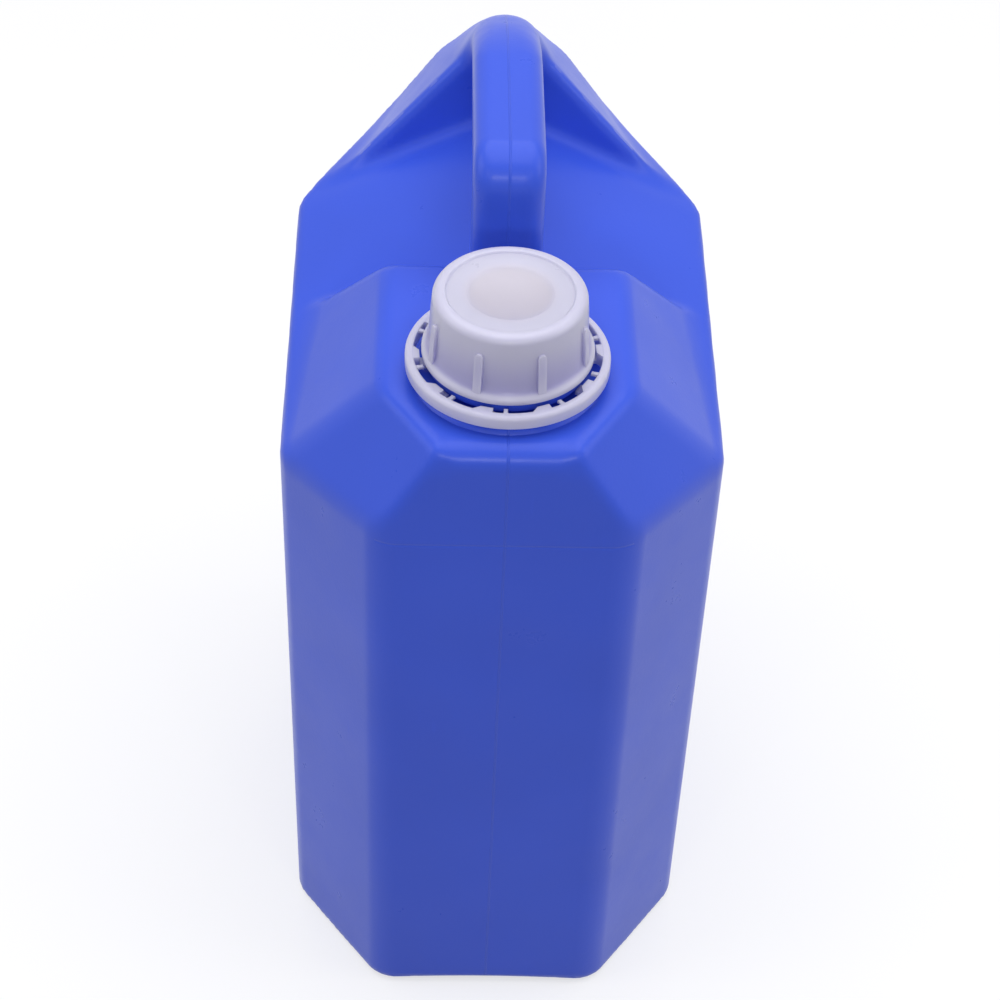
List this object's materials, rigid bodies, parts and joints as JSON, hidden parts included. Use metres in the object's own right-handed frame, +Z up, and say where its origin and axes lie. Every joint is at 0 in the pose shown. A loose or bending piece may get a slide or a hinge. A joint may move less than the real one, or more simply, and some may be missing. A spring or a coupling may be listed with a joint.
{
  "type": "screw-cap fluid jug",
  "caption": "Blow-moulded octagonal plastic jug with a hollow carrying handle, a ribbed screw cap and a tamper ring on its neck.",
  "frame": {"origin": "middle of the footprint, on the surface that the jug stands on", "axes": "+Z up, -Y towards the neck and the front face, +Y towards the handle's rear end, +X to the right seen from the front"},
  "size_m": [0.134, 0.196, 0.2935],
  "materials": {
    "jug": "satin blue blow-moulded polyethylene with a fine grain",
    "closure": "satin translucent natural polyethylene",
    "liner": "matt closed-cell foam"
  },
  "bodies": {
    "jug": {"jug_body": "jug", "tamper_ring": "closure"},
    "liner": {"cap_liner": "liner"},
    "cap": {"cap": "closure"}
  },
  "joints": [
    {"name": "cap_lift", "type": "slide", "parent": "jug", "child": "liner", "axis": [0, 0, 1], "range_m": [0, 0.02]},
    {"name": "cap_turn", "type": "hinge", "parent": "liner", "child": "cap", "pos_m": [0, -0.0615, 0.265], "axis": [0, 0, 1], "range_deg": [0, 1440]}
  ],
  "couplings": [
    {"joint": "cap_lift", "follows": "cap_turn", "m_per_rad": 0.00079577}
  ]
}
